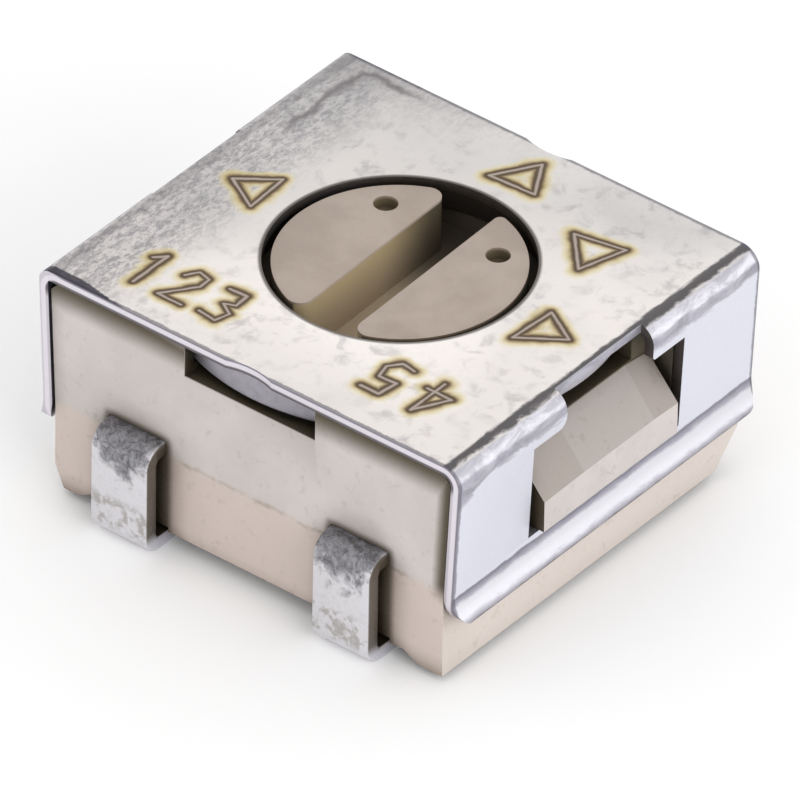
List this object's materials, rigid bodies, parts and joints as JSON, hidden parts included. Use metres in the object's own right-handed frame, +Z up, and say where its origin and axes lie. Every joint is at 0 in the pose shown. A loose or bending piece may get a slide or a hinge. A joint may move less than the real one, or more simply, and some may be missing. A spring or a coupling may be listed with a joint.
{
  "type": "trimmer potentiometer",
  "caption": "Square surface-mount trimmer with a slotted rotor, folded metal cover and J-shaped terminals.",
  "frame": {"origin": "middle of the seating plane on which the terminals' feet rest", "axes": "+Z up along the rotor's axis, X along the side with two terminals, which faces -Y"},
  "size_m": [0.005, 0.0048, 0.0024],
  "materials": {
    "cover": "bright rolled sheet with fine scratches",
    "bearing_ring": "satin",
    "rotor": "matt moulded",
    "o_ring": "matt silicone",
    "wiper": "bright spring alloy",
    "housing": "matt moulded",
    "element": "fired alumina",
    "track": "fired cermet film",
    "silver": "fired silver film",
    "terminal": "dull tin plating"
  },
  "bodies": {
    "base": {"cover": "cover", "bearing_ring": "bearing_ring", "housing": "housing", "element_substrate": "element", "resistive_track": "track", "collector_track": "silver", "pad_start": "silver", "pad_end": "silver", "bond_start": "silver", "bond_end": "silver", "bond_wiper": "silver", "terminal_start": "terminal", "terminal_end": "terminal", "terminal_wiper": "terminal"},
    "turning": {"rotor": "rotor", "o_ring": "o_ring", "wiper": "wiper"}
  },
  "joints": [
    {"name": "rotor_turn", "type": "hinge", "parent": "base", "child": "turning", "pos_m": [0, 0, 0.00242], "axis": [0, 0, 1], "range_deg": [-120, 120]}
  ]
}
